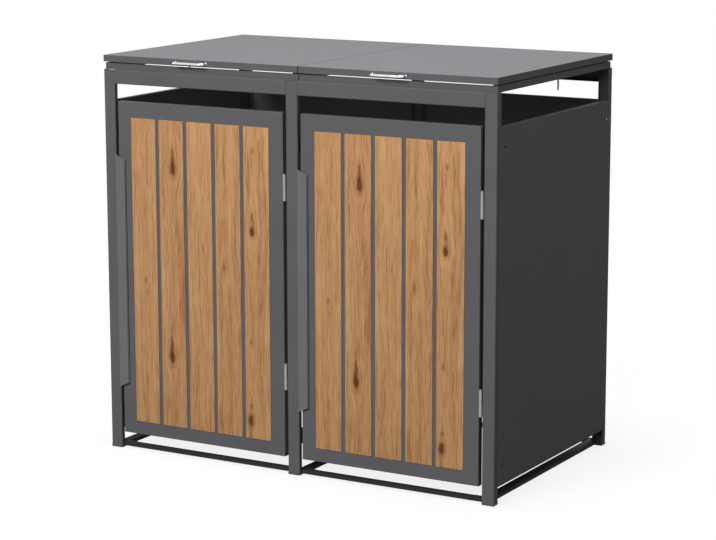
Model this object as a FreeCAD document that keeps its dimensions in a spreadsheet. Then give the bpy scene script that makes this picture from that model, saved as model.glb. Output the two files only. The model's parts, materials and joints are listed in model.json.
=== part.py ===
# Wheelie bin store for two bins: a frame of folded steel posts and rails, sheet panels,
# two hung doors with upright slats, and two lids hinged at the rear.
# The origin is at ground level under the middle of the whole store; the doors face -Y.
import FreeCAD, Part
import math
import os
import re
import Sketcher
from FreeCAD import Placement, Rotation, Vector

doc = FreeCAD.newDocument("BinStore")
sheet = doc.addObject("Spreadsheet::Sheet", "Sizes")

sizes = [
    ("width", 1360),            # over the outer posts
    ("depth", 795),             # from the front faces of the posts to the rear faces
    ("height", 1250),           # ground to the top of the lids
    ("sheetWall", 1.5),         # steel sheet of the frame, panels, doors and lids
    ("bendRadius", 1.5),        # inside radius of a fold
    ("cutMargin", 1),           # how far a cut runs past what it cuts
    ("postFace", 40),           # width of a post
    ("postReturn", 25),         # depth of a corner post's outer side
    ("postLip", 15),            # depth of a post's sides that face the doors
    ("footBase", 8),            # part of a foot that shows under its post
    ("footDepth", 27),
    ("footPlug", 22),           # part of a foot that is pushed into its post
    ("footClear", 0.2),
    ("footChamfer", 1.5),
    ("ringDepth", 30),          # top rails, across their length
    ("ringHeight", 20),
    ("ringSetback", 8),         # top rails behind the posts' faces
    ("ringInset", 3),           # top rails short of the outer posts' sides
    ("middleRailWidth", 40),
    ("headerHeight", 44),
    ("headerReturn", 20),
    ("doorTopGap", 53),         # open gap between header and door
    ("doorLift", 54),           # ground to the doors' lower edge
    ("doorSideGap", 11),        # between a door and the posts beside it
    ("doorDepth", 22),
    ("doorLip", 12),            # inward lip along the back of a door
    ("stileWidth", 49),         # door face beside the slats
    ("topRailHeight", 49),
    ("bottomRailHeight", 42),
    ("slatCount", 5),
    ("slatGap", 12.5),
    ("slatThickness", 2.5),
    ("slatBevel", 0.8),
    ("gripClear", 2.5),         # between a grip and the post beside it
    ("gripWall", 2),
    ("gripFace", 34.5),
    ("gripRise", 9),            # how far a grip stands out at its riser
    ("gripFall", 1.5),          # how much less it stands out at its free edge
    ("gripFlange", 10),         # strip of a grip that lies on the door
    ("gripBottom", 149),        # door's lower edge to the grip
    ("gripLength", 741),
    ("gripCorner", 16),         # slant of its ends
    ("hingeLength", 80),
    ("hingeProud", 1),          # axes of the door hinges before the posts' faces
    ("barrelRadius", 5),
    ("pinRadius", 3),
    ("pinClear", 0.05),
    ("pinHead", 1),
    ("leafWall", 1.5),
    ("knuckleGap", 0.4),
    ("leafClear", 0.5),         # between a leaf and the other leaf's knuckle
    ("postLeafReach", 13),
    ("doorLeafReach", 21),
    ("upperHinge", 831),        # door's lower edge to the middle of a hinge
    ("lowerHinge", 251),
    ("catchLength", 50),
    ("catchWidth", 26),
    ("catchDepth", 14),
    ("catchGap", 0.3),
    ("catchStrap", 1.4),
    ("upperCatch", 940),        # door's lower edge to a catch
    ("lowerCatch", 45),
    ("sideWindow", 99),         # open gap over the side panels
    ("panelLift", 55),
    ("panelInset", 17),         # side panel's edge behind the posts' faces
    ("panelProud", 3),          # hemmed edge of a side panel
    ("panelHem", 10),
    ("hemRound", 2.4),
    ("panelFlange", 20),
    ("flangeClear", 3),
    ("rearSetback", 2),
    ("bracketWall", 2),
    ("bracketLength", 40),
    ("screwHead", 5.5),
    ("screwHeadHeight", 3),
    ("screwEdge", 33),          # panel screws from the upright edges
    ("screwEnd", 57),           # and from the ends
    ("railLift", 6),            # ground to the base rails
    ("railHeight", 12),
    ("railWidth", 20),
    ("railSetback", 10),
    ("angleWidth", 30),
    ("angleWall", 2),
    ("angleInset", 18),         # side base rails from the outer sides of the posts
    ("channelWidth", 24),
    ("channelOffset", 8),       # middle base rail right of the middle
    ("tabLength", 30),
    ("lidDrop", 20.5),          # folded edge of a lid
    ("lidLip", 20),             # inward lip along the bottom of that edge
    ("lidGap", 3.5),            # slit between lid and top rails
    ("lidSeam", 22),            # joint between the lids, right of the middle
    ("seamGap", 3),
    ("lidHingeInset", 120),
    ("lidLeafReach", 34),
    ("hingeClear", 0.3),
    ("stiffenerCrown", 40),
    ("stiffenerFlange", 15),
    ("stiffenerDrop", 16),
    ("stiffenerClear", 2),
    ("handleLength", 117),
    ("handleReach", 24),
    ("handleHeight", 7),
    ("handleBar", 7),
    ("handleBend", 12),
    ("handleDrop", 6),          # handle's lower edge over the lid's lower edge
    ("leftHandle", -357),       # middle of a handle, right of the store's middle
    ("rightHandle", 330),
    ("restRadius", 3),          # bolts that the lids rest on
    ("restHead", 6),
    ("restClear", 0.3),
    ("restHole", 3.2),
    ("restInset", 20),
    ("restOffset", 45),         # behind the store's middle
    ("restHang", 36),
]

for row, (name, value) in enumerate(sizes, 1):
    sheet.set(f"A{row}", name)
    sheet.set(f"B{row}", str(value))
    sheet.setAlias(f"B{row}", name)
doc.recompute()

names = {name for name, value in sizes}
slatCount = int(dict(sizes)["slatCount"])

# Levels and planes that several pieces share, as formulas of the sizes above.
hingeReach = "(2 * barrelRadius + hingeClear)"
frontY = f"((handleReach - {hingeReach} - depth) / 2)"
rearY = f"({frontY} + depth)"
middleY = f"({frontY} + depth / 2)"
leftX = "(-width / 2)"
rightX = "(width / 2)"
bayWidth = "((width - 3 * postFace) / 2)"
leftBayX = f"({leftX} + postFace)"
rightBayX = "(postFace / 2)"
ringTop = "(height - lidDrop - lidGap)"
ringBottom = f"({ringTop} - ringHeight)"
headerBottom = f"({ringBottom} - headerHeight)"
doorWidth = f"({bayWidth} - 2 * doorSideGap)"
doorHeight = f"({headerBottom} - doorTopGap - doorLift)"
slatLength = f"({doorHeight} - topRailHeight - bottomRailHeight)"
slatWidth = f"(({doorWidth} - 2 * stileWidth - (slatCount - 1) * slatGap) / slatCount)"
panelHeight = f"({ringBottom} - sideWindow - panelLift)"
panelLength = "(depth - 2 * panelInset)"
knuckleLength = "((hingeLength - knuckleGap) / 2)"
lidHingeY = f"({rearY} + barrelRadius + hingeClear)"
lidHingeZ = f"({ringTop} + lidGap / 2)"
lidBottom = "(height - lidDrop)"
leftLidWidth = "(width / 2 + lidSeam - seamGap / 2)"
rightLidWidth = "(width / 2 - lidSeam - seamGap / 2)"
rightLidX = "(lidSeam + seamGap / 2)"
outerBend = "(bendRadius + sheetWall)"

upright = Vector(0, 0, 1)
alongX = Vector(1, 0, 0)
alongY = Vector(0, 1, 0)


def cells(formula):
    """The formula with each size's name pointing at its cell."""
    return re.sub("[A-Za-z]+", lambda word: "Sizes." * (word.group() in names) + word.group(), str(formula))


def bind(thing, **formulas):
    for key, formula in formulas.items():
        thing.setExpression(key, cells(formula))


def place(thing, x, y, z, turn=0, axis=upright):
    thing.Placement = Placement(Vector(), Rotation(axis, turn))
    for key, formula in zip("xyz", (x, y, z)):
        thing.setExpression(f"Placement.Base.{key}", cells(formula))
    return thing


def newBody(label):
    body = doc.addObject("PartDesign::Body", label)
    body.Label = label
    return body


def newSketch(body, plane, offset="0"):
    """A sketch on one of the body's planes, moved along the plane's normal by the offset."""
    sketch = body.newObject("Sketcher::SketchObject", body.Name + "Sketch")
    support = [feature for feature in body.Origin.OriginFeatures if feature.Role == plane + "_Plane"]
    sketch.AttachmentSupport = [(support[0], "")]
    sketch.MapMode = "FlatFace"
    sketch.setExpression("AttachmentOffset.Base.z", cells(offset))
    return sketch


def hold(sketch, element, point, key, x, y, start):
    """Dimensions a point of the sketch from the sketch's origin."""
    for kind, formula, value in (("DistanceX", x, start.x), ("DistanceY", y, start.y)):
        number = sketch.addConstraint(Sketcher.Constraint(kind, -1, 1, element, point, value))
        sketch.renameConstraint(number, kind + key)
        sketch.setExpression(f"Constraints.{kind}{key}", cells(formula))


def outline(body, plane, corners, offset="0"):
    """A closed outline of straight lines through the corners."""
    sketch = newSketch(body, plane, offset)
    count = len(corners)
    turn = 2 * math.pi / count
    starts = [Vector(100 * math.cos(turn * i), 100 * math.sin(turn * i), 0) for i in range(count)]
    for i in range(count):
        sketch.addGeometry(Part.LineSegment(starts[i], starts[(i + 1) % count]), False)
    for i in range(count):
        sketch.addConstraint(Sketcher.Constraint("Coincident", i, 2, (i + 1) % count, 1))
    for i, (x, y) in enumerate(corners):
        hold(sketch, i, 1, str(i), x, y, starts[i])
    return sketch


def rectangle(body, plane, x, y, across, along, offset="0"):
    """An outline with its first corner at x, y."""
    corners = [(x, y), (f"{x} + {across}", y), (f"{x} + {across}", f"{y} + {along}"), (x, f"{y} + {along}")]
    return outline(body, plane, corners, offset)


def pad(body, sketch, length, backward=False):
    feature = body.newObject("PartDesign::Pad", body.Name + "Pad")
    feature.Profile = sketch
    feature.Reversed = backward
    bind(feature, Length=length)
    doc.recompute()
    return feature


def pocket(body, sketch, length, backward=False, midplane=False):
    """Cuts the sketch out of the body; a pocket that cuts nothing is an error."""
    before = body.Shape.Volume
    feature = body.newObject("PartDesign::Pocket", body.Name + "Pocket")
    feature.Profile = sketch
    feature.Reversed = backward
    feature.Midplane = midplane
    bind(feature, Length=length)
    doc.recompute()
    if not body.Shape.Volume < before - 0.1:
        raise RuntimeError(f"{feature.Name} cuts nothing")
    return feature


def drill(body, plane, x, y, radius, length, backward=False):
    """A round hole."""
    sketch = newSketch(body, plane)
    start = Vector(10, 10, 0)
    sketch.addGeometry(Part.Circle(start, upright, 2), False)
    hold(sketch, 0, 3, "Centre", x, y, start)
    number = sketch.addConstraint(Sketcher.Constraint("Radius", 0, 2))
    sketch.renameConstraint(number, "Radius")
    sketch.setExpression("Constraints.Radius", cells(radius))
    return pocket(body, sketch, length, backward)


def cornerEdges(shape, sketch, corners):
    """Names of the edges that the sketch's corners leave as they are padded."""
    normal = sketch.Placement.Rotation.multVec(upright)
    found = []
    for corner in corners:
        start = sketch.Placement.multVec(sketch.Geometry[corner].StartPoint)
        for i, edge in enumerate(shape.Edges, 1):
            if all(vertex.Point.distanceToLine(start, normal) < 0.001 for vertex in edge.Vertexes):
                found.append(f"Edge{i}")
    return found


def levelEdges(shape, key, level):
    """Names of the edges that lie at one level of x, y or z."""
    found = []
    for i, edge in enumerate(shape.Edges, 1):
        box = edge.BoundBox
        low, high = getattr(box, key + "Min"), getattr(box, key + "Max")
        if abs(low - level) < 0.001 and abs(high - level) < 0.001:
            found.append(f"Edge{i}")
    return found


def fillet(body, edges, radius):
    base = body.Tip
    feature = body.newObject("PartDesign::Fillet", body.Name + "Fillet")
    feature.Base = (base, edges)
    bind(feature, Radius=radius)
    doc.recompute()
    return feature


def chamfer(body, edges, size):
    base = body.Tip
    feature = body.newObject("PartDesign::Chamfer", body.Name + "Chamfer")
    feature.Base = (base, edges)
    bind(feature, Size=size)
    doc.recompute()
    return feature


def foldBends(body, sketch, outside, inside):
    """Rounds the bends of a padded sheet profile: the corners outside and inside each fold."""
    fillet(body, cornerEdges(body.Shape, sketch, outside), outerBend)
    fillet(body, cornerEdges(body.Shape, sketch, inside), "bendRadius")


def box(label, length, width, height, x="0", y="0", z="0"):
    part = doc.addObject("Part::Box", label)
    bind(part, Length=length, Width=width, Height=height)
    return place(part, x, y, z)


def cylinder(label, radius, height, x="0", y="0", z="0"):
    part = doc.addObject("Part::Cylinder", label)
    bind(part, Radius=radius, Height=height)
    return place(part, x, y, z)


def fuse(label, parts):
    joined = doc.addObject("Part::MultiFuse", label)
    joined.Shapes = parts
    return joined


def cut(label, base, tool):
    result = doc.addObject("Part::Cut", label)
    result.Base = base
    result.Tool = tool
    return result


def copies(label, source, places):
    """A group of separate copies of one solid; each place is x, y, z, turn and axis."""
    links = []
    for i, spot in enumerate(places):
        link = doc.addObject("App::Link", f"{label}Copy{i}")
        link.LinkedObject = source
        links.append(place(link, *spot))
    group = doc.addObject("Part::Compound", label)
    group.Links = links
    return keep(label, group)


kept = {}


def keep(label, part):
    part.Label = label
    kept[label] = part
    return part


# Posts: one sheet folded to a C that opens into the store.
def post(label, nearReturn, farReturn, x, y, turn):
    body = newBody(label)
    corners = [("0", "0"), ("postFace", "0"), ("postFace", farReturn), ("postFace - sheetWall", farReturn),
               ("postFace - sheetWall", "sheetWall"), ("sheetWall", "sheetWall"),
               ("sheetWall", nearReturn), ("0", nearReturn)]
    sketch = outline(body, "XY", corners)
    pad(body, sketch, f"{ringBottom} - footBase")
    foldBends(body, sketch, (0, 1), (4, 5))
    place(body, x, y, "footBase", turn)
    return keep(label, body)


post("front_left_post", "postReturn", "postLip", leftX, frontY, 0)
post("front_middle_post", "postLip", "postLip", "-postFace / 2", frontY, 0)
post("front_right_post", "postLip", "postReturn", f"{rightX} - postFace", frontY, 0)
post("rear_right_post", "postReturn", "postLip", rightX, rearY, 180)
post("rear_middle_post", "postLip", "postLip", "postFace / 2", rearY, 180)
post("rear_left_post", "postLip", "postReturn", f"{leftX} + postFace", rearY, 180)


# Feet: a plate under the post with a plug that fills the C.
def postFeet():
    foot = newBody("foot")
    plate = rectangle(foot, "XY", "0", "0", "postFace", "footDepth")
    pad(foot, plate, "footBase")
    plug = rectangle(foot, "XY", "sheetWall + footClear", "sheetWall + footClear",
                     "postFace - 2 * (sheetWall + footClear)", "postLip - sheetWall - footClear")
    pad(foot, plug, "footBase + footPlug")
    chamfer(foot, cornerEdges(foot.Shape, plug, (0, 1)), "bendRadius")
    chamfer(foot, levelEdges(foot.Shape, "Z", 0), "footChamfer")
    front = [(x, frontY, "0", 0) for x in (leftX, "-postFace / 2", f"{rightX} - postFace")]
    rear = [(x, rearY, "0", 180) for x in (rightX, "postFace / 2", f"{leftX} + postFace")]
    copies("post_feet", foot, front + rear)


postFeet()


# Top ring: rails over the posts with closed outer ends. The front ones are angles, the rear ones boxes.
def topRail(label, length, x, y, turn, hollow):
    """The hollow is the corner, width and height of what is cut out of the rail's section."""
    body = newBody(label)
    pad(body, rectangle(body, "YZ", "0", "0", "ringDepth", "ringHeight"), length)
    pocket(body, rectangle(body, "YZ", *hollow, "sheetWall"), length, True)
    return place(body, x, y, ringBottom, turn)


closedHollow = ("sheetWall", "sheetWall", "ringDepth - 2 * sheetWall", "ringHeight - 2 * sheetWall")
openHollow = ("sheetWall", "sheetWall", "ringDepth", "ringHeight")
turnedHollow = ("-sheetWall", "sheetWall", "ringDepth", "ringHeight")


def crossRail(label, across, x):
    body = newBody(label)
    length = "depth - 2 * ringSetback - 2 * ringDepth"
    pad(body, rectangle(body, "XZ", "0", "0", across, "ringHeight"), length, True)
    hollow = rectangle(body, "XZ", "sheetWall", "sheetWall", f"{across} - 2 * sheetWall",
                       "ringHeight - 2 * sheetWall")
    pocket(body, hollow, length)
    return place(body, x, f"{frontY} + ringSetback + ringDepth", ringBottom)


leftRailLength = "(width / 2 + lidSeam - ringInset - seamGap / 2)"
rightRailLength = "(width / 2 - lidSeam - ringInset - seamGap / 2)"
ringLeftX = f"{leftX} + ringInset"
ringRightX = f"{rightX} - ringInset"
keep("front_top_rail_left", topRail("front_top_rail_left", leftRailLength, ringLeftX,
                                    f"{frontY} + ringSetback", 0, openHollow))
keep("front_top_rail_right", topRail("front_top_rail_right", rightRailLength, ringRightX,
                                     f"{frontY} + ringSetback + ringDepth", 180, turnedHollow))
restHoleY = "(depth - 2 * ringSetback - 2 * ringDepth) / 2 + restOffset"
for label, x, holeX in (("side_top_rail_left", ringLeftX, "restInset - ringInset"),
                        ("side_top_rail_right", f"{ringRightX} - ringDepth",
                         "ringDepth + ringInset - restInset")):
    rail = crossRail(label, "ringDepth", x)
    drill(rail, "XY", holeX, restHoleY, "restHole", "ringHeight", True)
    keep(label, rail)
keep("middle_top_rail", crossRail("middle_top_rail", "middleRailWidth", "lidSeam - middleRailWidth"))


# Headers: folded channels between the posts, under the ring.
def header(label, x, y, turn=0):
    body = newBody(label)
    corners = [("0", "0"), ("0", "headerHeight"), ("headerReturn", "headerHeight"),
               ("headerReturn", "headerHeight - sheetWall"), ("sheetWall", "headerHeight - sheetWall"),
               ("sheetWall", "sheetWall"), ("headerReturn", "sheetWall"), ("headerReturn", "0")]
    sketch = outline(body, "YZ", corners)
    pad(body, sketch, bayWidth)
    foldBends(body, sketch, (0, 1), (4, 5))
    return place(body, x, y, headerBottom, turn)


keep("front_header_left", header("front_header_left", leftBayX, frontY))
keep("front_header_right", header("front_header_right", rightBayX, frontY))


# At the rear each header is welded to the rail above it.
def rearTopRail(label, length, railX, railY, turn, headerX):
    rail = topRail(label + "_box", length, railX, railY, turn, closedHollow)
    channel = header(label + "_header", headerX, rearY, 180)
    return keep(label, fuse(label, [rail, channel]))


rearTopRail("rear_top_rail_left", leftRailLength, ringLeftX, f"{rearY} - ringSetback - ringDepth", 0,
            f"{leftBayX} + {bayWidth}")
rearTopRail("rear_top_rail_right", rightRailLength, ringRightX, f"{rearY} - ringSetback", 180,
            f"{rightBayX} + {bayWidth}")


# Base rails: upside-down channels between the posts, and rails from front to rear with end tabs.
def baseRail(label, x, y, turn):
    body = newBody(label)
    corners = [("0", "0"), ("sheetWall", "0"), ("sheetWall", "railHeight - sheetWall"),
               ("railWidth - sheetWall", "railHeight - sheetWall"), ("railWidth - sheetWall", "0"),
               ("railWidth", "0"), ("railWidth", "railHeight"), ("0", "railHeight")]
    pad(body, outline(body, "YZ", corners), bayWidth)
    place(body, x, y, "railLift", turn)
    return keep(label, body)


baseRail("front_base_rail_left", leftBayX, f"{frontY} + railSetback", 0)
baseRail("front_base_rail_right", rightBayX, f"{frontY} + railSetback", 0)
baseRail("rear_base_rail_left", f"{leftBayX} + {bayWidth}", f"{rearY} - railSetback", 180)
baseRail("rear_base_rail_right", f"{rightBayX} + {bayWidth}", f"{rearY} - railSetback", 180)
sideRailLength = "(depth - 2 * railSetback - 2 * railWidth)"


def crossBaseRail(label, corners, width, x, tabX):
    """A rail along Y; the profile's outline runs from its left side, and a tab stands at each end."""
    body = newBody(label)
    pad(body, outline(body, "XZ", corners), sideRailLength, True)
    for offset, backward in (("0", True), (f"-{sideRailLength}", False)):
        tab = rectangle(body, "XZ", tabX, "0", f"tabLength + {width}", "railHeight", offset)
        pad(body, tab, "angleWall", backward)
    place(body, x, f"{frontY} + railSetback + railWidth", "railLift")
    return keep(label, body)


angleCorners = [("0", "railHeight"), ("0", "railHeight - angleWall"),
                ("angleWidth - angleWall", "railHeight - angleWall"), ("angleWidth - angleWall", "0"),
                ("angleWidth", "0"), ("angleWidth", "railHeight")]
channelCorners = [("0", "0"), ("angleWall", "0"), ("angleWall", "railHeight - angleWall"),
                  ("channelWidth - angleWall", "railHeight - angleWall"), ("channelWidth - angleWall", "0"),
                  ("channelWidth", "0"), ("channelWidth", "railHeight"), ("0", "railHeight")]
crossBaseRail("side_base_rail_left", angleCorners, "angleWidth", f"{leftX} + angleInset", "0")
crossBaseRail("side_base_rail_right", angleCorners, "angleWidth", f"{rightX} - angleInset - angleWidth",
              "-tabLength")
crossBaseRail("middle_base_rail", channelCorners, "channelWidth", "channelOffset", "0")


# Side panels: sheet with hemmed upright edges that lie on the posts, and flanges along the top and bottom.
def sidePanel(label, x, y, turn):
    body = newBody(label)
    inner = "(panelProud - sheetWall)"
    section = [("0", "0"), ("panelProud", "0"), ("panelProud", panelLength), ("0", panelLength),
               ("0", f"{panelLength} - panelHem"), (inner, f"{panelLength} - panelHem"),
               (inner, "panelHem"), ("0", "panelHem")]
    sketch = outline(body, "XY", section)
    pad(body, sketch, panelHeight)
    fillet(body, cornerEdges(body.Shape, sketch, (1, 2)), "hemRound")
    start = "(postReturn - panelInset + flangeClear)"
    for level in ("0", f"({panelHeight} - sheetWall)"):
        flange = rectangle(body, "XY", "panelProud - panelFlange", start, "panelFlange - sheetWall / 2",
                           f"{panelLength} - 2 * {start}", level)
        pad(body, flange, "sheetWall")
    place(body, x, y, "panelLift", turn)
    return keep(label, body)


sidePanel("side_panel_right", rightX, f"{frontY} + panelInset", 0)
sidePanel("side_panel_left", leftX, f"{rearY} - panelInset", 180)


# Rear panels: sheet between the rear posts, with a flange along the top and the bottom.
def rearPanel(label, x):
    body = newBody(label)
    section = [("0", "0"), ("0", panelHeight), ("-panelFlange", panelHeight),
               ("-panelFlange", f"{panelHeight} - sheetWall"), ("-sheetWall", f"{panelHeight} - sheetWall"),
               ("-sheetWall", "sheetWall"), ("-panelFlange", "sheetWall"), ("-panelFlange", "0")]
    sketch = outline(body, "YZ", section)
    pad(body, sketch, bayWidth)
    foldBends(body, sketch, (0, 1), (4, 5))
    place(body, x, f"{rearY} - rearSetback", "panelLift")
    return keep(label, body)


rearPanel("rear_panel_left", leftBayX)
rearPanel("rear_panel_right", rightBayX)


# Brackets: straps that step from a post's inner side to the back of a side panel.
def cornerBrackets():
    strap = newBody("strap")
    step = "(panelProud - sheetWall)"
    postSide = "(-sheetWall - bracketWall)"
    panelSide = f"({step} - bracketWall)"
    reach = "(postReturn - panelInset)"
    corners = [(postSide, f"{reach} - panelFlange"), ("-sheetWall", f"{reach} - panelFlange"),
               ("-sheetWall", "panelHem"), (step, "panelHem + flangeClear"),
               (step, "panelHem + bracketLength"), (panelSide, "panelHem + bracketLength"),
               (panelSide, "panelHem + flangeClear + bracketWall"),
               (postSide, "panelHem + bracketWall")]
    pad(strap, outline(strap, "XY", corners), "bracketLength / 2")
    low = "panelLift + screwEnd - bracketLength / 4"
    high = f"panelLift + {panelHeight} - screwEnd - bracketLength / 4"
    lowTop = "panelLift + screwEnd + bracketLength / 4"
    highTop = f"panelLift + {panelHeight} - screwEnd + bracketLength / 4"
    front = f"{frontY} + panelInset"
    rear = f"{rearY} - panelInset"
    places = [(rightX, front, z, 0) for z in (low, high)]
    places += [(leftX, rear, z, 180) for z in (low, high)]
    places += [(rightX, rear, z, 180, alongX) for z in (lowTop, highTop)]
    places += [(leftX, front, z, 180, alongY) for z in (lowTop, highTop)]
    copies("panel_corner_brackets", strap, places)


cornerBrackets()


# Screws: the round heads that hold the side panels.
def frameScrews():
    head = cylinder("screwDisc", "screwHead", "screwHeadHeight")
    ends = [(y, z) for y in (f"{frontY} + panelInset + screwEdge", f"{rearY} - panelInset - screwEdge")
            for z in ("panelLift + screwEnd", f"panelLift + {panelHeight} - screwEnd")]
    sides = ((f"{rightX} + panelProud", 90), (f"{leftX} - panelProud", -90))
    places = [(x, y, z, turn, alongY) for x, turn in sides for y, z in ends]
    copies("frame_screws", head, places)


frameScrews()


# Bolts hanging through the side rails; the lids rest on their heads.
def lidRestBolts():
    head = cylinder("restHeadDisc", "restHead", "lidGap - restClear")
    shank = cylinder("restShank", "restRadius", "ringHeight + restHang", z="-ringHeight - restHang")
    bolt = fuse("restBolt", [head, shank])
    y = f"{middleY} + restOffset"
    places = [(x, y, ringTop) for x in (f"{leftX} + restInset", f"{rightX} - restInset")]
    copies("lid_rest_bolts", bolt, places)


lidRestBolts()


# Lids: pans folded from one sheet, with inward lips that lie on the rest bolts.
def lid(label, width, x):
    body = newBody(label)
    pad(body, rectangle(body, "XY", "0", "0", width, "depth"), "lidDrop")
    hollow = rectangle(body, "XY", "sheetWall", "sheetWall", f"{width} - 2 * sheetWall",
                       "depth - 2 * sheetWall", "sheetWall")
    pocket(body, hollow, "lidDrop - 2 * sheetWall", True)
    mouth = rectangle(body, "XY", "lidLip", "lidLip", f"{width} - 2 * lidLip", "depth - 2 * lidLip",
                      "-cutMargin")
    pocket(body, mouth, "sheetWall + 2 * cutMargin", True)
    fillet(body, levelEdges(body.Shape, "Z", body.Shape.BoundBox.ZMax), "sheetWall")
    place(body, x, frontY, lidBottom)
    return keep(label, body)


lid("lid_left", leftLidWidth, leftX)
lid("lid_right", rightLidWidth, rightLidX)


def lidStiffener(label, width, x):
    """A hat profile under the lid's sheet, from side to side."""
    body = newBody(label)
    crown = "stiffenerCrown / 2"
    foot = "(stiffenerCrown / 2 + stiffenerFlange)"
    slope = f"({crown} - stiffenerClear)"
    outside = [(foot, "0"), (foot, "-sheetWall"), (crown, "-sheetWall"), (slope, "-stiffenerDrop")]
    inside = [(f"{slope} - sheetWall", "sheetWall - stiffenerDrop"), (f"{crown} - sheetWall", "0")]
    mirrored = [(f"-({x})", z) for x, z in outside]
    corners = mirrored + outside[::-1] + inside[::-1] + [(f"-({x})", z) for x, z in inside]
    pad(body, outline(body, "YZ", corners), f"{width} - 2 * (sheetWall + stiffenerClear)")
    place(body, f"{x} + sheetWall + stiffenerClear", middleY, "height - sheetWall")
    return keep(label, body)


lidStiffener("lid_left_stiffener", leftLidWidth, leftX)
lidStiffener("lid_right_stiffener", rightLidWidth, rightLidX)


def lidHandle(label, x):
    """A bow whose two ends stand on the lid's front edge."""
    body = newBody(label)
    outer = "(handleLength / 2)"
    inner = f"({outer} - handleBar)"
    bow = outline(body, "XY", [(f"-{outer}", "0"), (f"-{outer}", "-handleReach"), (outer, "-handleReach"),
                               (outer, "0"), (inner, "0"), (inner, "handleBar - handleReach"),
                               (f"-{inner}", "handleBar - handleReach"), (f"-{inner}", "0")])
    pad(body, bow, "handleHeight")
    fillet(body, cornerEdges(body.Shape, bow, (1, 2)), "handleBend")
    fillet(body, cornerEdges(body.Shape, bow, (5, 6)), "handleBend - handleBar")
    place(body, x, frontY, f"{lidBottom} + handleDrop")
    return keep(label, body)


lidHandle("lid_left_handle", "leftHandle")
lidHandle("lid_right_handle", "rightHandle")


# Hinges: a barrel of two knuckles on a pin. The axis is the local Z, from the barrel's lower end.
def leaf(label, planeX, side, reach, number):
    """A leaf plate with its knuckle, which is number 0 or 1 along the axis."""
    clear = "(barrelRadius + leafClear)"
    plateY, tabY = (f"-{reach}", f"-{clear}") if side < 0 else (clear, "0")
    start = f"{number} * ({knuckleLength} + knuckleGap)"
    pieces = [box(label + "Plate", "leafWall", f"{reach} - {clear}", "hingeLength", planeX, plateY),
              box(label + "Tab", "leafWall", clear, knuckleLength, planeX, tabY, start),
              cylinder(label + "Knuckle", "barrelRadius", knuckleLength, z=start)]
    bore = cylinder(label + "Bore", "pinRadius + pinClear", "hingeLength")
    return cut(label + "Solid", fuse(label + "Joined", pieces), bore)


def hingePin(label):
    return cylinder(label, "pinRadius", "hingeLength + 2 * pinHead", z="-pinHead")


def doorHinges():
    postLeaf = leaf("postLeaf", "doorSideGap / 2 - leafWall", 1, "postLeafReach", 0)
    doorLeaf = leaf("doorLeaf", "-doorSideGap / 2", 1, "doorLeafReach", 1)
    pin = hingePin("doorPin")
    y = f"{frontY} - hingeProud"
    levels = [f"doorLift + {level} - hingeLength / 2" for level in ("lowerHinge", "upperHinge")]
    left = [("-postFace / 2 - doorSideGap / 2", y, z) for z in levels]
    right = [(f"{rightX} - postFace - doorSideGap / 2", y, z) for z in levels]
    copies("door_hinge_post_leaves", postLeaf, left + right)
    copies("door_hinge_pins", pin, [(x, y, f"{z} - pinHead") for x, y, z in left + right])
    copies("door_left_hinge_leaves", doorLeaf, left)
    copies("door_right_hinge_leaves", doorLeaf, right)


doorHinges()


def lidHinges():
    """The same barrels laid along X, with both leaves in the plane of the store's back."""
    planeX = "(-barrelRadius - hingeClear)"
    frameLeaf = leaf("frameLeaf", planeX, -1, "lidLeafReach", 0)
    lidLeaf = leaf("lidLeaf", planeX, 1, "lidDrop", 1)
    pin = hingePin("lidPin")
    spots = {}
    for side, x, width in (("left", leftX, leftLidWidth), ("right", rightLidX, rightLidWidth)):
        centres = ("lidHingeInset", f"{width} - lidHingeInset")
        starts = [f"{x} + {centre} - hingeLength / 2" for centre in centres]
        spots[side] = [(start, lidHingeY, lidHingeZ, 120, Vector(1, 1, 1)) for start in starts]
    both = spots["left"] + spots["right"]
    copies("lid_hinge_frame_leaves", frameLeaf, both)
    copies("lid_hinge_pins", pin, [(f"{x} - pinHead", y, z, turn, axis) for x, y, z, turn, axis in both])
    copies("lid_left_hinge_leaves", lidLeaf, spots["left"])
    copies("lid_right_hinge_leaves", lidLeaf, spots["right"])


lidHinges()


# Doors: a folded pan with inward lips behind, slats on its face and a folded grip on its leading edge.
def doorPan(label, x):
    body = newBody(label)
    pad(body, rectangle(body, "XZ", "0", "0", doorWidth, doorHeight), "doorDepth", True)
    hollow = rectangle(body, "XZ", "sheetWall", "sheetWall", f"{doorWidth} - 2 * sheetWall",
                       f"{doorHeight} - 2 * sheetWall", "-sheetWall")
    pocket(body, hollow, "doorDepth - 2 * sheetWall")
    mouth = rectangle(body, "XZ", "doorLip", "doorLip", f"{doorWidth} - 2 * doorLip",
                      f"{doorHeight} - 2 * doorLip", "-doorDepth / 2")
    pocket(body, mouth, "doorDepth")
    fillet(body, levelEdges(body.Shape, "Y", 0), "sheetWall")
    place(body, x, frontY, "doorLift")
    return keep(label, body)


def slat(label, x, number):
    body = newBody(label)
    pad(body, rectangle(body, "XZ", "0", "0", slatWidth, slatLength), "slatThickness")
    chamfer(body, levelEdges(body.Shape, "Y", body.Shape.BoundBox.YMin), "slatBevel")
    start = f"{x} + stileWidth + {number} * ({slatWidth} + slatGap)"
    place(body, start, frontY, "doorLift + bottomRailHeight")
    return keep(label, body)


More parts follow.
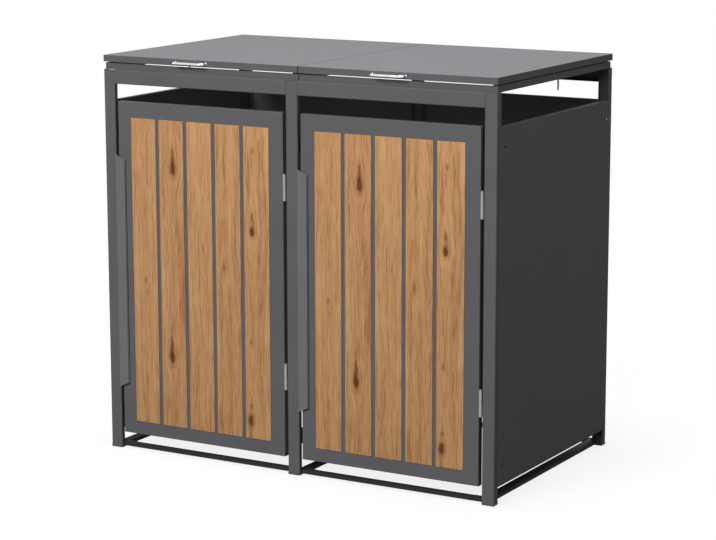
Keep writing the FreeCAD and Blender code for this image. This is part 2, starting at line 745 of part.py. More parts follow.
def grip(label, x):
    """A folded strip: a flange on the door, a riser, and a face that reaches back over the door's edge."""
    body = newBody(label)
    riser = "(gripFace - gripWall)"
    flange = "(gripFace - gripFlange)"
    sketch = outline(body, "XY", [("0", "gripFall - gripRise"), ("gripFace", "-gripRise"), ("gripFace", "0"),
                                  (flange, "0"), (flange, "-gripWall"), (riser, "-gripWall"),
                                  (riser, "gripWall - gripRise"), ("0", "gripWall + gripFall - gripRise")])
    pad(body, sketch, "gripLength")
    far = "gripFace + cutMargin"
    for level, drop in (("gripLength", "-gripCorner"), ("0", "gripCorner")):
        corner = outline(body, "XZ", [("0", level), (far, level), (far, f"{level} + ({drop})")])
        pocket(body, corner, "2 * (gripRise + cutMargin)", midplane=True)
    fillet(body, cornerEdges(body.Shape, sketch, (1,)), "gripWall")
    place(body, f"{x} - doorSideGap + gripClear", frontY, "doorLift + gripBottom")
    return keep(label, body)


for side, x in (("left", f"{leftBayX} + doorSideGap"), ("right", f"{rightBayX} + doorSideGap")):
    doorPan(f"door_{side}_pan", x)
    for number in range(slatCount):
        slat(f"door_{side}_slat_{number + 1}", x, number)
    grip(f"door_{side}_grip", x)


# Catches: a magnet housing behind each door's leading edge, on a strap from the post.
def doorCatches():
    reach = "doorDepth + catchGap + catchDepth - 2 * sheetWall"
    strap = box("catchArm", "catchStrap", reach, "catchLength", "0", "2 * sheetWall")
    housing = box("catchHousing", "catchWidth", "catchDepth", "catchLength", "0", "doorDepth + catchGap")
    catch = fuse("catch", [strap, housing])
    places = [(x, frontY, f"doorLift + {level}")
              for x in (leftBayX, rightBayX) for level in ("lowerCatch", "upperCatch")]
    copies("door_catches", catch, places)


doorCatches()

doc.recompute()

for thing in doc.Objects:
    if "Invalid" in thing.State or "Error" in thing.State:
        raise RuntimeError(f"{thing.Label} failed: {thing.State}")
for label, part in kept.items():
    if part.Shape.isNull() or not part.Shape.isValid():
        raise RuntimeError(f"{label} has no valid shape")

os.makedirs("parts", exist_ok=True)
for label, part in kept.items():
    part.Shape.exportStep(f"parts/{label}.step")
print(len(kept), "sub-parts")
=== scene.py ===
import json
from math import pi, radians

import bmesh
import bpy
import numpy as np
from mathutils import Matrix, Vector


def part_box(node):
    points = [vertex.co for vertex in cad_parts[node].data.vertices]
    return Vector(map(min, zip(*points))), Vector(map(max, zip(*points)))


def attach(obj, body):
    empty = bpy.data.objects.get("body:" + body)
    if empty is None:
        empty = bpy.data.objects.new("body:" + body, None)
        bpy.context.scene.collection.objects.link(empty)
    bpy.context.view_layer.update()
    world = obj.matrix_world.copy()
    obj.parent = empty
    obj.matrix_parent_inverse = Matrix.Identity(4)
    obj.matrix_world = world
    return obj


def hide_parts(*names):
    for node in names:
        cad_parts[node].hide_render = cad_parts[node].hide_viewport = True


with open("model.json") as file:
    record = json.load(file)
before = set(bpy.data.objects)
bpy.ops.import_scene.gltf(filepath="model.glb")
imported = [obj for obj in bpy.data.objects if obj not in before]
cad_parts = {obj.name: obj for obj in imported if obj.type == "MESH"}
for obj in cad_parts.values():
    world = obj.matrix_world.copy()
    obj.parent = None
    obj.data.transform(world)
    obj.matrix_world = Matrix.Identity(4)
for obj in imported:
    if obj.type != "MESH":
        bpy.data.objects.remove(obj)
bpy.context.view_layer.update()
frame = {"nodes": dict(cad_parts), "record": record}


class Wave:  # one number, colour or direction in a finish, so that shader maths reads as sums
    def __init__(self, finish, socket):
        self.finish, self.socket = finish, socket

    def maths(self, operation, *values):
        return self.finish.maths(operation, *values)

    def __add__(self, other):
        return self.maths("ADD", self, other)

    def __radd__(self, other):
        return self.maths("ADD", other, self)

    def __sub__(self, other):
        return self.maths("SUBTRACT", self, other)

    def __rsub__(self, other):
        return self.maths("SUBTRACT", other, self)

    def __mul__(self, other):
        return self.maths("MULTIPLY", self, other)

    def __rmul__(self, other):
        return self.maths("MULTIPLY", other, self)

    def __truediv__(self, other):
        return self.maths("DIVIDE", self, other)

    def __rtruediv__(self, other):
        return self.maths("DIVIDE", other, self)

    def __pow__(self, other):
        return self.maths("POWER", self, other)

    def __lt__(self, other):
        return self.maths("LESS_THAN", self, other)

    def __gt__(self, other):
        return self.maths("GREATER_THAN", self, other)

    def floor(self):
        return self.maths("FLOOR", self)

    def sine(self):
        return self.maths("SINE", self)

    def ease(self, low, high):  # 0 up to low, 1 from high on and smooth between, or falling if low > high
        steps = {"interpolation_type": "SMOOTHSTEP"}
        return self.finish.node("MapRange", steps, {"Value": self, "From Min": low, "From Max": high})


class Finish:  # the node tree of one material, or of the world
    def __init__(self, owner):
        owner.use_nodes = True
        self.owner, self.tree = owner, owner.node_tree
        self.tree.nodes.clear()

    def node(self, kind, settings=None, sockets=None, out=0):  # out is an output's name or number
        made = self.tree.nodes.new("ShaderNode" + kind)
        for key, value in (settings or {}).items():
            if key == "stops":
                ramp = made.color_ramp.elements
                while len(ramp) < len(value):
                    ramp.new(1.0)
                for stop, (place, colour) in zip(ramp, value):
                    stop.position, stop.color = place, (*colour, 1.0)
            else:
                setattr(made, key, value)
        for key, value in (sockets or {}).items():
            socket = made.inputs[key]
            if isinstance(value, Wave):
                self.tree.links.new(value.socket, socket)
            elif isinstance(value, tuple) and socket.type == "RGBA":
                socket.default_value = (*value, 1.0)
            else:
                socket.default_value = value
        return Wave(self, made.outputs[out] if made.outputs else None)

    def maths(self, operation, *values):
        return self.node("Math", {"operation": operation}, dict(enumerate(values)))

    def place(self):  # the point's x, y and z on its own object
        point = self.node("TexCoord", out="Object")
        return [self.node("SeparateXYZ", None, {0: point}, axis) for axis in range(3)]

    def point(self, x, y, z):
        return self.node("CombineXYZ", None, {0: x, 1: y, 2: z})

    def noise(self, point, scale=1.0, detail=2.0, roughness=0.5):
        sockets = {"Vector": point, "Scale": scale, "Detail": detail, "Roughness": roughness}
        return self.node("TexNoise", None, sockets)

    def mix(self, share, first, second):  # the colour Mix has its colours at 6 and 7 and gives output 2
        return self.node("Mix", {"data_type": "RGBA"}, {0: share, 6: first, 7: second}, 2)

    def bump(self, height, depth, strength):
        sockets = {"Height": height, "Distance": depth, "Strength": strength}
        return self.node("Bump", None, sockets)

    def rays(self, *kinds):  # 1 for rays of any of these kinds and 0 for others
        first, *others = [self.node("LightPath", out=f"Is {kind} Ray") for kind in kinds]
        for other in others:
            first = self.maths("MAXIMUM", first, other)
        return first

    def shade(self, **values):  # the surface's shader, with spaces in socket names as underscores
        sockets = {name.replace("_", " "): value for name, value in values.items()}
        return self.close(self.node("BsdfPrincipled", None, sockets))

    def close(self, shader, output="OutputMaterial"):
        self.node(output, None, {"Surface": shader})
        return self.owner


def newCoat(name):
    return Finish(bpy.data.materials.new(name))


def tinted(tone, share):
    return tuple(share * part for part in tone)


powderLook = {
    "shine": 0.02, "grain": 1500.0, "grainDepth": 0.00006, "grainStrength": 0.35,
    "mottle": 5.0, "mottleEdges": (0.3, 0.7), "glossSwing": 0.1,
    "speck": 900.0, "speckEdges": (0.62, 0.75), "speckShare": 0.18, "speckLight": 1.7,
    "powderCoat": {"tone": (0.115, 0.115, 0.122), "gloss": 0.47, "mottleShare": 0.04},
    # the next coat is the frame's coat made lighter: a painted highlight for the grips' faces
    "paintedHighlightCoat": {"tone": (0.153, 0.153, 0.161), "gloss": 0.47, "mottleShare": 0.03},
    # the next coat is the frame's coat made near-black for the base rails, partly painted shade from under
    # the store
    "darkCoatAndPaintedShade": {"tone": (0.036, 0.037, 0.040), "gloss": 0.50, "mottleShare": 0.05},
}


def powderCoat(name, look):
    own = look[name]
    coat = newCoat(name)
    point = coat.point(*coat.place())
    grain = coat.noise(point, look["grain"], 1.0)
    mottle = coat.noise(point, look["mottle"], 3.0)
    dark, light = [tinted(own["tone"], 1 + side * own["mottleShare"]) for side in (-1, 1)]
    colour = coat.mix(mottle.ease(*look["mottleEdges"]), dark, light)
    speck = coat.noise(point, look["speck"], 0.0).ease(*look["speckEdges"])
    colour = coat.mix(speck * look["speckShare"], colour, tinted(own["tone"], look["speckLight"]))
    return coat.shade(Base_Color=colour, Roughness=own["gloss"] + look["glossSwing"] * (mottle - 0.5),
                      Specular_IOR_Level=look["shine"],
                      Normal=coat.bump(grain, look["grainDepth"], look["grainStrength"]))


oakLook = {
    "light": (0.547, 0.319, 0.146), "middle": (0.456, 0.240, 0.103), "dark": (0.290, 0.131, 0.052),
    "knotTone": (0.110, 0.034, 0.009), "rust": (0.400, 0.150, 0.050), "rosy": (0.442, 0.215, 0.109),
    "stops": (0.12, 0.47, 0.86), "boardTones": (0.02, -0.05, 0.06, -0.05, 0.03),
    "repeat": 0.660, "firstEdge": 0.07375, "pitch": 0.1025,
    # how far the grain sways aside, and the steps of its noise per board and per metre of height
    "sway": 0.022, "swaySteps": (3.7, 1.6),
    # width and height of a mark, its noise's step per board, detail and roughness
    "marks": {
        "wobble": (0.013, 0.024, 2.9, 2.0, 0.5), "broad": (0.050, 0.900, 9.7, 2.0, 0.6),
        "band": (0.012, 0.350, 3.1, 4.0, 0.6), "fleck": (0.0045, 0.050, 6.1, 3.0, 0.6),
        "fibre": (0.0022, 0.100, 5.3, 3.0, 0.6), "pores": (0.0011, 0.030, 7.9, 2.0, 0.6),
        "arch": (0.020, 0.120, 4.1, 3.0, 0.5), "hue": (0.015, 0.120, 12.3, 2.0, 0.6),
        "blush": (0.006, 0.050, 1.0, 2.0, 0.5),
    },
    # how strongly each mark lightens and darkens the wood
    "toneShares": {"band": 1.3, "fibre": 1.2, "broad": 0.6, "fleck": 1.3},
    # the two values between which each mask fades: of noise, of a sum of masks, or of the square of
    # the distance from the middle of a knot or patch over its half size
    "edges": {"knot": (0.15, 1.9), "halo": (1.0, 6.0), "patch": (0.0, 1.6), "pores": (0.60, 0.72),
              "figure": (0.42, 0.30), "hue": (0.45, 0.70), "blush": (0.35, 0.65), "rusty": (0.0, 1.3),
              "knotty": (0.0, 1.1)},
    "ringStep": 0.0016, "ringArch": 16, "ringShare": 0.35, "ringHalo": 0.5,
    "hueShare": 0.5, "poreShare": 0.28, "haloShare": 0.42,
    "relief": {"fibre": 0.6, "pores": -0.8, "knots": -0.5}, "reliefDepth": 0.00025, "reliefStrength": 0.45,
    "gloss": 0.52, "poreGloss": 0.14, "fibreGloss": -0.08, "shine": 0.15,
    # how far a knot wobbles aside and up, how far it parts the grain and how soon that fades
    "knotWobble": (0.008, 0.020), "part": 1.4, "partFade": 0.35,
    # across, height, half width and half height of each knot, then how strong it is
    "knots": [
        (0.2345, 0.9118, 0.0092, 0.0200, 1.00), (0.2325, 0.9440, 0.0055, 0.0330, 0.70),
        (0.2215, 0.3194, 0.0092, 0.0200, 1.00), (0.2200, 0.3560, 0.0055, 0.0350, 0.72),
        (0.5196, 0.7420, 0.0088, 0.0155, 1.00), (0.5190, 0.7820, 0.0048, 0.0160, 0.62),
        (0.5090, 0.1520, 0.0085, 0.0170, 1.00), (0.5100, 0.1960, 0.0048, 0.0100, 0.55),
        (0.5215, 0.9839, 0.0060, 0.0100, 0.55), (0.5121, 0.3978, 0.0050, 0.0090, 0.45),
        (0.1257, 0.5563, 0.0055, 0.0130, 0.50), (0.1274, 0.5150, 0.0050, 0.0130, 0.40),
        (0.4170, 0.6200, 0.0065, 0.0170, 0.45), (0.4120, 0.7560, 0.0070, 0.0120, 0.38),
        (0.1240, 0.2370, 0.0045, 0.0160, 0.32),
    ],
    # across, height, half width and half height of the reddish patches, then how strong they are
    "patches": [
        (0.4110, 0.7250, 0.0240, 0.0600, 0.75), (0.2530, 0.3700, 0.0160, 0.0500, 0.65),
        (0.2600, 0.9500, 0.0130, 0.0450, 0.50), (0.4180, 0.6300, 0.0200, 0.0600, 0.50),
        (0.1270, 0.5000, 0.0170, 0.0900, 0.40), (0.5350, 0.3200, 0.0260, 0.0800, 0.40),
        (0.5150, 0.6300, 0.0160, 0.0700, 0.40),
    ],
}


def oakDecor(look):
    # The grain runs up the boards. It follows a coordinate across the board that is pulled together at
    # each knot and is nearly free again two widths off, so the lines part and flow round the knot.
    oak, edges = newCoat("oakDecor"), look["edges"]
    x, y, z = oak.place()
    across = x + look["repeat"] * (x < 0)  # both doors show the same decor
    board = ((across - look["firstEdge"]) / look["pitch"]).floor()

    def mark(name, aside):  # noise drawn out up the board, other on each board
        width, height, step, detail, roughness = look["marks"][name]
        return oak.noise(oak.point(aside / width, board * step, z / height), 1.0, detail, roughness)

    perBoard, perHeight = look["swaySteps"]
    sway = oak.noise(oak.point(board * perBoard, 0.0, z * perHeight)) - 0.5
    flow = across + look["sway"] * sway
    wobble = mark("wobble", across) - 0.5
    sideWobble, riseWobble = look["knotWobble"]
    dark, halo = 0.0, 0.0
    for u, h, halfWidth, halfHeight, strength in look["knots"]:
        side = across - u + sideWobble * wobble
        rise = z - h + riseWobble * wobble
        reach = (side / halfWidth) ** 2 + (rise / halfHeight) ** 2
        flow = flow - side * (look["part"] * strength) / (1 + reach * look["partFade"])
        dark = dark + strength * (1 - reach.ease(*edges["knot"]))
        halo = halo + strength * (1 - reach.ease(*edges["halo"]))
    rust = 0.0
    for u, h, halfWidth, halfHeight, strength in look["patches"]:
        reach = ((across - u) / halfWidth) ** 2 + ((z - h) / halfHeight) ** 2
        rust = rust + strength * (1 - reach.ease(*edges["patch"]))

    marks = {name: mark(name, flow) for name in look["toneShares"]}
    tone = 0.5
    for name, share in look["toneShares"].items():
        tone = tone + share * (marks[name] - 0.5)
    for number, shift in enumerate(look["boardTones"]):
        tone = tone + shift * oak.maths("COMPARE", board, number, 0.5)
    woodTones = (look["dark"], look["middle"], look["light"])
    colour = oak.node("ValToRGB", {"stops": list(zip(look["stops"], woodTones))}, {0: tone})

    pores = mark("pores", flow).ease(*edges["pores"])
    rings = (flow / look["ringStep"] + look["ringArch"] * mark("arch", flow)).sine() * 0.5 + 0.5
    figure = marks["broad"].ease(*edges["figure"]) + halo * look["ringHalo"]
    colour = oak.mix((rings * figure * look["ringShare"]).ease(0.0, 1.0), colour, look["dark"])
    hue = mark("hue", flow).ease(*edges["hue"])
    colour = oak.mix(hue * look["hueShare"], colour, look["rosy"])
    blush = mark("blush", flow).ease(*edges["blush"])
    colour = oak.mix((rust * blush).ease(*edges["rusty"]), colour, look["rust"])
    smudge = pores * look["poreShare"] + halo * look["haloShare"]
    colour = oak.mix(smudge.ease(0.0, 1.0), colour, look["dark"])
    colour = oak.mix(dark.ease(*edges["knotty"]), colour, look["knotTone"])
    relief, fibre = look["relief"], marks["fibre"]
    height = fibre * relief["fibre"] + pores * relief["pores"] + dark * relief["knots"]
    return oak.shade(Base_Color=colour, Specular_IOR_Level=look["shine"],
                     Roughness=look["gloss"] + look["poreGloss"] * pores + look["fibreGloss"] * fibre,
                     Normal=oak.bump(height, look["reliefDepth"], look["reliefStrength"]))


metalLook = {
    "shade": 0.86, "cloudEdges": (0.3, 0.7), "grainDepth": 0.00003, "grainStrength": 0.25,
    # the grain is how fine the clouds are along x, y and z
    "chrome": {"tone": (0.80, 0.80, 0.82), "gloss": 0.14, "spread": 0.05, "grain": (700, 40, 40)},
    "zinc": {"tone": (0.33, 0.333, 0.34), "gloss": 0.42, "spread": 0.14, "grain": (160, 160, 160)},
    "darkScrew": {"tone": (0.018, 0.018, 0.020), "gloss": 0.38, "spread": 0.12, "grain": (900, 900, 900)},
}


def bareMetal(name, look):
    own = look[name]
    metal = newCoat(name)
    scaled = [side * scale for side, scale in zip(metal.place(), own["grain"])]
    cloud = metal.noise(metal.point(*scaled), 1.0, 3.0)
    colour = metal.mix(cloud.ease(*look["cloudEdges"]), tinted(own["tone"], look["shade"]), own["tone"])
    return metal.shade(Base_Color=colour, Metallic=1.0,
                       Roughness=own["gloss"] + own["spread"] * (cloud - 0.5),
                       Normal=metal.bump(cloud, look["grainDepth"], look["grainStrength"]))


plasticLook = {
    "grain": 1100.0, "grainDepth": 0.00008, "grainStrength": 0.4,
    "scuff": 60.0, "scuffEdges": (0.55, 0.75), "scuffShare": 0.35, "scuffLight": 1.6, "scuffGloss": 0.12,
    "blackPlastic": {"tone": (0.028, 0.028, 0.030), "gloss": 0.55, "shine": 0.4},
    "greyPlastic": {"tone": (0.092, 0.092, 0.098), "gloss": 0.55, "shine": 0.15},
}


def mouldedPlastic(name, look):
    own = look[name]
    plastic = newCoat(name)
    point = plastic.point(*plastic.place())
    grain = plastic.noise(point, look["grain"], 1.0)
    scuff = plastic.noise(point, look["scuff"], 3.0).ease(*look["scuffEdges"])
    colour = plastic.mix(scuff * look["scuffShare"], own["tone"], tinted(own["tone"], look["scuffLight"]))
    return plastic.shade(Base_Color=colour, Roughness=own["gloss"] + look["scuffGloss"] * scuff,
                         Specular_IOR_Level=own["shine"],
                         Normal=plastic.bump(grain, look["grainDepth"], look["grainStrength"]))


finishes = {
    "powder_coat": powderCoat("powderCoat", powderLook),
    # a lighter copy of the coat, a painted highlight
    "light_coat": powderCoat("paintedHighlightCoat", powderLook),
    # a near-black copy of the coat, partly painted shade
    "dark_coat": powderCoat("darkCoatAndPaintedShade", powderLook),
    "oak_decor": oakDecor(oakLook),
    "chrome": bareMetal("chrome", metalLook),
    "zinc": bareMetal("zinc", metalLook),
    "dark_screw": bareMetal("darkScrew", metalLook),
    "black_plastic": mouldedPlastic("blackPlastic", plasticLook),
    "grey_plastic": mouldedPlastic("greyPlastic", plasticLook),
}
slots = {piece["node"]: piece["material_slot"] for piece in frame["record"]["subparts"]}
for name, node in frame["nodes"].items():
    node.data.materials.clear()
    node.data.materials.append(finishes[slots[name]])
print("materials on", len(slots), "pieces of the frame")

sides = ("left", "right")
meshing = {"weld": 1e-6, "smooth": 40}  # points this near become one, and edges under this angle look round


def ringFaces(rows, columns, first):
    # Four corners of every cell between a grid's rows, where each row is a ring that closes on itself.
    row, column = np.meshgrid(np.arange(rows - 1), np.arange(columns), indexing="ij")
    here, beside = row * columns + column, row * columns + (column + 1) % columns
    return np.stack([here, beside, beside + columns, here + columns], -1).reshape(-1, 4) + first


def makePiece(name, grids, slotName, body, replaced, smooth=meshing["smooth"]):
    points, faces, first = [], [], 0
    for grid in grids:
        rows, columns = grid.shape[:2]
        faces.append(ringFaces(rows, columns, first))
        points.append(grid.reshape(-1, 3))
        first += rows * columns
    mesh = bpy.data.meshes.new(name)
    mesh.from_pydata(np.concatenate(points).tolist(), [], np.concatenate(faces).tolist())
    shape = bmesh.new()
    shape.from_mesh(mesh)
    bmesh.ops.remove_doubles(shape, verts=shape.verts, dist=meshing["weld"])
    bmesh.ops.recalc_face_normals(shape, faces=shape.faces)
    shape.to_mesh(mesh)
    shape.free()
    mesh.materials.append(finishes[slotName])
    mesh.shade_smooth()
    mesh.set_sharp_from_angle(angle=radians(smooth))
    piece = bpy.data.objects.new(name, mesh)
    bpy.context.collection.objects.link(piece)
    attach(piece, body)
    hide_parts(*replaced)


boardLook = {"perDoor": 5, "ease": 0.0012, "steps": 5}


def easedBoard(low, high, look):
    # An outline with its two front corners rounded by quarter circles, carried up the board. Near both
    # ends it draws in towards the back along a quarter circle, and each end closes on its middle.
    ease, turn = look["ease"], np.linspace(0, pi / 2, look["steps"])
    falling, rising = ease * (1 - np.sin(turn)), ease * (1 - np.cos(turn))
    x = np.concatenate([[low[0]], low[0] + rising, high[0] - falling, [high[0]]])
    y = np.concatenate([[high[1]], low[1] + falling, low[1] + rising, [high[1]]])
    heights = np.concatenate([low[2] + rising, high[2] - rising[::-1]])
    inset = np.concatenate([falling, falling[::-1]])[:, None]
    middle, half, depth = (low[0] + high[0]) / 2, (high[0] - low[0]) / 2, high[1] - low[1]
    shell = np.stack([middle + (x - middle) * (1 - inset / half),
                      high[1] + (y - high[1]) * (1 - inset / depth),
                      np.repeat(heights[:, None], len(x), 1)], -1)
    ends = shell[[0, -1]].mean(axis=1, keepdims=True).repeat(len(x), 1)
    return np.concatenate([ends[:1], shell, ends[1:]])


for side in sides:
    for number in range(1, boardLook["perDoor"] + 1):
        node = f"door_{side}_slat_{number}"
        board = easedBoard(*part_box(node), boardLook)
        makePiece(f"door_{side}_board_{number}", [board], "oak_decor", f"door_{side}", [node])
print("boards on both doors")

# the sheet's wall, how far back its free edge lies, the riser's lean, the flange, the ends' slant, and the
# reach of both bends
gripLook = {"wall": 0.0015, "fall": 0.0015, "lean": 0.0032, "flange": 0.010, "slant": 0.016,
            "faceBend": 0.0034, "footBend": 0.0020, "turns": 12}


def foldedGrip(low, high, look):
    # The sheet's middle line runs from the free edge along the face, down the leaning riser and back along
    # the flange. Each bend is the curve (1 - t)^2 a + 2 t (1 - t) b + t^2 c round its corner b. Half the
    # wall to both sides of the line makes the sheet, and both ends are cut at a slant across its width.
    half = look["wall"] / 2
    edge = np.array([low[0], low[1] + look["fall"] + half])
    corner = np.array([high[0] - look["lean"], low[1] + half])
    foot = np.array([high[0] - half, high[1] - half])
    back = np.array([high[0] - look["flange"], high[1] - half])
    t = np.linspace(0, 1, look["turns"])[:, None]

    def bend(before, at, after, reach):
        start = at + reach * (before - at) / np.linalg.norm(before - at)
        end = at + reach * (after - at) / np.linalg.norm(after - at)
        return (1 - t) ** 2 * start + 2 * t * (1 - t) * at + t ** 2 * end

    line = np.concatenate([[edge], bend(edge, corner, foot, look["faceBend"]),
                           bend(corner, foot, back, look["footBend"]), [back]])
    ahead = np.gradient(line, axis=0)
    ahead /= np.linalg.norm(ahead, axis=1, keepdims=True)
    aside = half * np.stack([ahead[:, 1], -ahead[:, 0]], -1)
    rings = np.stack([line + aside, line + aside, line - aside, line - aside], 1)
    cut = look["slant"] * (rings[..., 0] - low[0]) / (high[0] - low[0])
    upper = np.array([False, True, True, False])
    sheet = np.concatenate([rings, np.where(upper, high[2] - cut, low[2] + cut)[..., None]], -1)
    ends = sheet[[0, -1]][:, [0, 1, 1, 0]]  # a flat ring closes each edge
    return np.concatenate([ends[:1], sheet, ends[1:]])


for side in sides:
    node = f"door_{side}_grip"
    grip = foldedGrip(*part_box(node), gripLook)
    # the grips take the lighter copy of the coat, which paints a highlight on them
    makePiece(f"door_{side}_pull", [grip], "light_coat", f"door_{side}", [node])
print("grips on both doors")

handleLook = {"bend": 0.0135, "round": 28, "turns": 12, "foot": 0.0016, "footRadius": 0.0045, "footTurns": 6}


def bowHandle(low, high, look):
    # A round bar carried along a bow: out from the lid, a quarter circle, along, a quarter circle, back.
    # The bar's ring turns with the path, so its two directions are the path's normal and straight up.
    radius = (high[2] - low[2]) / 2
    middle, bend = (low[0] + high[0]) / 2, look["bend"]
    half, reach = (high[0] - low[0]) / 2 - radius, high[1] - low[1] - radius
    turn = np.linspace(0, pi / 2, look["turns"])
    corner = np.stack([half - bend + bend * np.cos(turn), reach - bend + bend * np.sin(turn)], -1)
    way = np.concatenate([[[half, 0.0]], corner, corner[::-1] * (-1, 1), [[-half, 0.0]]])
    ahead = np.gradient(way, axis=0)
    ahead[0], ahead[-1] = (0, 1), (0, -1)
    ahead /= np.linalg.norm(ahead, axis=1, keepdims=True)
    aside = np.stack([ahead[:, 1], -ahead[:, 0]], -1)
    ring = np.linspace(0, 2 * pi, look["round"], endpoint=False)
    flat = way[:, None] + radius * np.cos(ring)[None, :, None] * aside[:, None]
    up = np.broadcast_to(radius * np.sin(ring), flat.shape[:2])
    bar = np.stack([middle + flat[..., 0], high[1] - flat[..., 1], (low[2] + high[2]) / 2 + up], -1)
    ends = bar[[0, -1]].mean(axis=1, keepdims=True).repeat(bar.shape[1], 1)
    return np.concatenate([ends[:1], bar, ends[1:]])


def discFoot(centre, edge, level, look):
    # A round foot on the lid's front edge: a disc with a rounded rim, from the lid out along -y.
    ring = np.linspace(0, 2 * pi, look["round"], endpoint=False)
    turn = np.linspace(0, pi / 2, look["footTurns"])
    thick, radius = look["foot"], look["footRadius"]
    reach = np.concatenate([[0, radius], radius - thick * (1 - np.cos(turn)), [0]])
    out = np.concatenate([[0, 0], thick * np.sin(turn), [thick]])
    return np.stack([centre + reach[:, None] * np.cos(ring),
                     np.repeat(edge - out[:, None], len(ring), 1),
                     level + reach[:, None] * np.sin(ring)], -1)


for side in sides:
    node = f"lid_{side}_handle"
    low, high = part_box(node)
    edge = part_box(f"lid_{side}")[0][1]
    radius, level = (high[2] - low[2]) / 2, (low[2] + high[2]) / 2
    grids = [bowHandle(low, (high[0], edge, high[2]), handleLook)]
    for centre in (low[0] + radius, high[0] - radius):
        grids.append(discFoot(centre, edge, level, handleLook))
    makePiece(f"lid_{side}_bow", grids, "chrome", f"lid_{side}", [node])
print("handles on both lids")

screwLook = {"radius": 0.0055, "rim": 0.0008, "flat": 0.45, "socket": 0.0021, "sink": 0.0018, "round": 48,
             "turns": 9}


def buttonScrew(base, tip, look):
    # A domed head with a six-sided socket, turned about x: rim, quarter-ellipse dome, flat, then the
    # socket's walls, whose distance from the axis is the socket's half width over the cosine of the turn
    # from the middle of its side.
    ring = np.linspace(0, 2 * pi, look["round"], endpoint=False)
    even, none = np.ones((1, len(ring))), np.zeros((1, len(ring)))
    six = look["socket"] / np.cos(np.mod(ring, pi / 3) - pi / 6)[None]
    turn = np.linspace(0, pi / 2, look["turns"])
    height, radius, rim = abs(tip - base[0]), look["radius"], look["rim"]
    flat = radius * look["flat"]
    dome = (flat + (radius - flat) * np.cos(turn))[:, None] * even
    reach = np.concatenate([none, radius * even, dome, six, six, none])
    bottom = height - look["sink"]
    out = np.concatenate([[0, 0], rim + (height - rim) * np.sin(turn), [height, bottom, bottom]])
    out = out[:, None] * np.sign(tip - base[0])
    return np.stack([base[0] + out + 0 * reach,
                     base[1] + reach * np.cos(ring),
                     base[2] + reach * np.sin(ring)], -1)


low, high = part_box("frame_screws")
panelFace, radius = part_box("side_panel_right")[1][0], screwLook["radius"]
heads = []
for base, tip in ((panelFace, high[0]), (-panelFace, low[0])):
    for y in (low[1] + radius, high[1] - radius):
        for z in (low[2] + radius, high[2] - radius):
            heads.append(buttonScrew((base, y, z), tip, screwLook))
makePiece("panel_screws", heads, "dark_screw", "frame", ["frame_screws"])

boltLook = {"head": 0.006, "shank": 0.003, "edge": 0.0005, "pitch": 0.001, "depth": 0.00045, "perTurn": 6,
            "round": 24, "smooth": 30}


def restBolt(centre, low, seat, top, look):
    # A head over a threaded shank. The thread's surface is r = shank - depth * |2 * frac(z / pitch -
    # turn / 2 pi) - 1|, fading out over the last turn at both ends.
    ring = np.linspace(0, 2 * pi, look["round"], endpoint=False)
    z = np.arange(seat, low, -look["pitch"] / look["perTurn"])
    phase = z[:, None] / look["pitch"] - ring / (2 * pi)
    fade = np.clip(np.minimum(seat - z, z - low) / look["pitch"], 0, 1)[:, None]
    thread = look["shank"] - look["depth"] * np.abs(2 * np.mod(phase, 1) - 1) * fade
    edge, head = look["edge"], look["head"]
    above = np.array([0, head - edge, head, head])[:, None] + 0 * ring
    below = np.array([look["shank"] - 2 * edge, 0])[:, None] + 0 * ring
    reach = np.concatenate([above, thread, below])
    level = np.concatenate([[top, top, top - edge, seat], z, [low, low]])[:, None]
    return np.stack([centre[0] + reach * np.cos(ring),
                     centre[1] + reach * np.sin(ring),
                     level + 0 * reach], -1)


low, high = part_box("lid_rest_bolts")
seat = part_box("side_top_rail_right")[1][2]
bolts = []
for x in (low[0] + boltLook["head"], high[0] - boltLook["head"]):
    bolts.append(restBolt((x, (low[1] + high[1]) / 2), low[2], seat, high[2], boltLook))
makePiece("rest_bolts_threaded", bolts, "zinc", "frame", ["lid_rest_bolts"], boltLook["smooth"])
print("screws and rest bolts")

stage = {"half": 12.0, "drop": 0.0005, "nearWhite": 1.2, "farWhite": 2.6, "haze": 0.85,
         "floorTone": (0.90, 0.90, 0.90), "bounceTone": (0.15, 0.15, 0.15)}


def paleFloor(look):
    # The camera and glossy rays see a pale floor that keeps a soft shadow and turns to plain white
    # further out. Light that bounces off it on to the store meets a darker tone.
    floor = newCoat("paleFloor")
    x, y, z = floor.place()
    away = (x * x + y * y) ** 0.5
    seen = floor.rays("Camera", "Glossy")
    tone = floor.mix(seen, look["bounceTone"], look["floorTone"])
    matte = floor.node("BsdfDiffuse", None, {"Color": tone})
    white = floor.node("Emission", None, {"Color": (1.0, 1.0, 1.0), "Strength": 1.0})
    share = (look["haze"] + (1 - look["haze"]) * away.ease(look["nearWhite"], look["farWhite"])) * seen
    return floor.close(floor.node("MixShader", None, {0: share, 1: matte, 2: white}))


def makeStage(look):
    half = look["half"]
    corners = [(-half, -half, 0), (half, -half, 0), (half, half, 0), (-half, half, 0)]
    mesh = bpy.data.meshes.new("floor")
    mesh.from_pydata(corners, [], [(0, 1, 2, 3)])
    mesh.materials.append(paleFloor(look))
    floor = bpy.data.objects.new("floor", mesh)
    floor.location.z = -look["drop"]
    bpy.context.collection.objects.link(floor)


makeStage(stage)

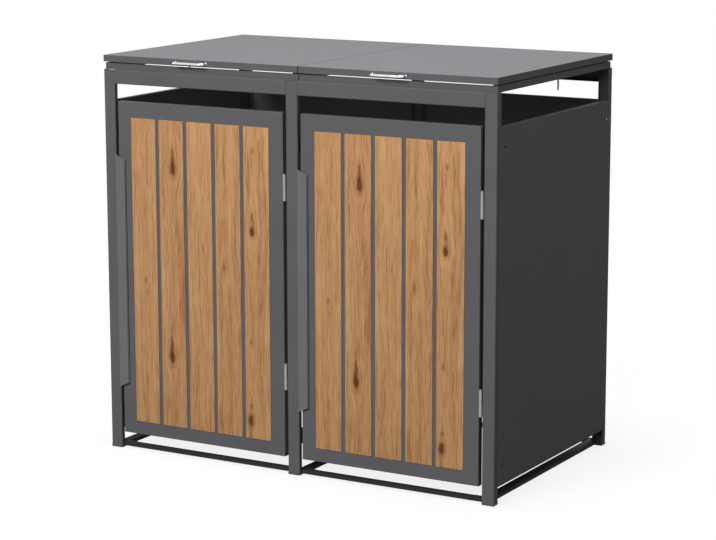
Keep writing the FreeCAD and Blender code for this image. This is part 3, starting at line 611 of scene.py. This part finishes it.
lamps = {
    "key": {"at": (-1.9, -8.4, 6.0), "towards": (0.0, -0.2, 0.7), "size": (3.8, 3.0), "power": 720.0},
    "soft": {"at": (2.4, -8.4, 5.2), "towards": (0.0, -0.2, 0.7), "size": (2.6, 2.6), "power": 170.0},
    "top": {"at": (0.0, 0.0, 5.0), "towards": (0.0, 0.0, 1.2), "size": (2.0, 2.0), "power": 210.0},
    "rear": {"at": (0.0, 4.6, 0.62), "towards": (0.0, 0.4, 0.62), "size": (1.2, 1.1), "power": 120.0},
    "left": {"at": (-4.6, 0.2, 0.62), "towards": (-0.7, 0.2, 0.62), "size": (0.8, 1.1), "power": 120.0},
    "right": {"at": (2.3, -0.9, 2.7), "towards": (0.69, -0.1, 1.0), "size": (1.0, 0.8), "power": 9.0},
}


def softBox(name, look):
    lamp = bpy.data.lights.new(name, "AREA")
    lamp.shape, lamp.energy = "RECTANGLE", look["power"]
    lamp.size, lamp.size_y = look["size"]
    holder = bpy.data.objects.new(name, lamp)
    at = Vector(look["at"])
    turn = (Vector(look["towards"]) - at).to_track_quat("-Z", "Y").to_matrix().to_4x4()
    holder.matrix_world = Matrix.Translation(at) @ turn
    bpy.context.collection.objects.link(holder)


for name, look in lamps.items():
    softBox(name, look)

bayLook = {"aside": 0.33, "level": 0.70, "size": 0.25, "power": 1.1}


def bayFill(aside, look):
    # A faint unseen glow inside a bay, so that the inside reads as dark grey and not as black.
    lamp = bpy.data.lights.new("fill", "POINT")
    lamp.energy, lamp.shadow_soft_size = look["power"], look["size"]
    holder = bpy.data.objects.new("fill", lamp)
    holder.location = (aside, 0.0, look["level"])
    holder.visible_camera = holder.visible_glossy = False
    bpy.context.collection.objects.link(holder)


for aside in (-bayLook["aside"], bayLook["aside"]):
    bayFill(aside, bayLook)

roomLook = {"seen": (1.0, 1.0, 1.0), "around": (0.085, 0.085, 0.085)}


def makeRoom(look):
    # White where it is seen, mirrored or looked at through something, and dim as a source of light.
    world = bpy.data.worlds.new("studio")
    bpy.context.scene.world = world
    room = Finish(world)
    tone = room.mix(room.rays("Camera", "Glossy", "Transmission"), look["around"], look["seen"])
    room.close(room.node("Background", None, {"Color": tone, "Strength": 1.0}), "OutputWorld")


makeRoom(roomLook)

# yaw turns the view about z, pitch tips it down and roll turns it about its own axis, in degrees
view = {"at": (3.5570, -6.1764, 1.9504), "yaw": 29.926, "pitch": 10.954, "roll": -0.097, "lens": 116.01,
        "farthest": 60.0}


def makeCamera(look):
    camera = bpy.data.objects.new("camera", bpy.data.cameras.new("camera"))
    camera.data.lens = look["lens"]
    camera.data.clip_end = look["farthest"]
    turn = Matrix.Translation(look["at"])
    for angle, axis in ((look["yaw"], "Z"), (90 - look["pitch"], "X"), (look["roll"], "Z")):
        turn = turn @ Matrix.Rotation(radians(angle), 4, axis)
    camera.matrix_world = turn
    bpy.context.collection.objects.link(camera)
    bpy.context.scene.camera = camera


makeCamera(view)
bpy.context.scene.view_settings.view_transform = "Standard"
print("floor, lamps and camera")
